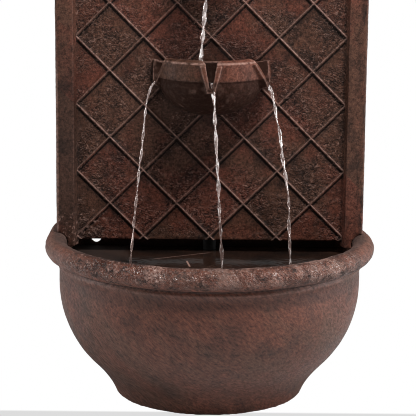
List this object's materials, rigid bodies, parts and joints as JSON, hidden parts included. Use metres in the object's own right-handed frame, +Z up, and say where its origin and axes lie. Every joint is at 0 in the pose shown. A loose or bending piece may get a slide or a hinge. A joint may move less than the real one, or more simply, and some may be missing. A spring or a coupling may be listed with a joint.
{
  "type": "garden wall fountain",
  "caption": "Wall fountain with a half-round basin, an arched lattice back panel, spill bowls with pinched lips, and a recirculating pump.",
  "frame": {"origin": "on the ground under the basin, at the centre of the overall box; the wall is the plane at the largest Y", "axes": "+Z up, +Y from the front of the basin towards the wall, +X to the right as one faces the fountain"},
  "size_m": [0.4199, 0.2671, 0.7339],
  "materials": {
    "cast_resin": "weathered bronze paint, rough",
    "zinc_steel": "zinc plated",
    "brass": "satin",
    "rubber": "matt",
    "pump_plastic": "fine spark texture",
    "tube_vinyl": "smooth",
    "clamp_nylon": "satin",
    "ceramic": "polished",
    "magnet": "satin",
    "impeller_plastic": "satin",
    "foam": "open cell",
    "dial_plastic": "satin"
  },
  "bodies": {
    "fountain": {"basin": "cast_resin", "wall_panel": "cast_resin", "lower_spill_bowl": "cast_resin", "upper_spill_bowl": "cast_resin", "bowl_studs": "zinc_steel", "bowl_washers": "rubber", "bowl_nuts": "zinc_steel", "panel_screws": "zinc_steel", "panel_inserts": "brass", "hanger_plates": "zinc_steel", "hanger_screws": "zinc_steel", "spout_elbow": "pump_plastic", "spout_nut": "pump_plastic", "riser_tube": "tube_vinyl", "hose_clamps": "clamp_nylon", "tube_clips": "clamp_nylon", "pump_housing": "pump_plastic", "cable_gland": "rubber", "suction_cups": "rubber", "impeller_chamber": "pump_plastic", "chamber_gasket": "rubber", "rotor_bushes": "rubber", "rotor_shaft": "ceramic", "outlet_nipple": "pump_plastic"},
    "rotor": {"rotor_magnet": "magnet", "impeller": "impeller_plastic"},
    "strainer": {"pump_strainer": "pump_plastic", "filter_foam": "foam"},
    "dial": {"flow_dial": "dial_plastic"},
    "plug": {"drain_plug": "rubber"}
  },
  "joints": [
    {"name": "rotor_spin", "type": "hinge", "parent": "fountain", "child": "rotor", "pos_m": [0, 0.10155, 0.037], "axis": [1, 0, 0], "continuous": true},
    {"name": "strainer_pull", "type": "slide", "parent": "fountain", "child": "strainer", "axis": [-1, 0, 0], "range_m": [0, 0.04]},
    {"name": "flow_turn", "type": "hinge", "parent": "strainer", "child": "dial", "pos_m": [-0.028, 0.10155, 0.037], "axis": [1, 0, 0], "range_deg": [0, 90]},
    {"name": "plug_lift", "type": "slide", "parent": "fountain", "child": "plug", "axis": [0, 0, 1], "range_m": [0, 0.22]}
  ]
}
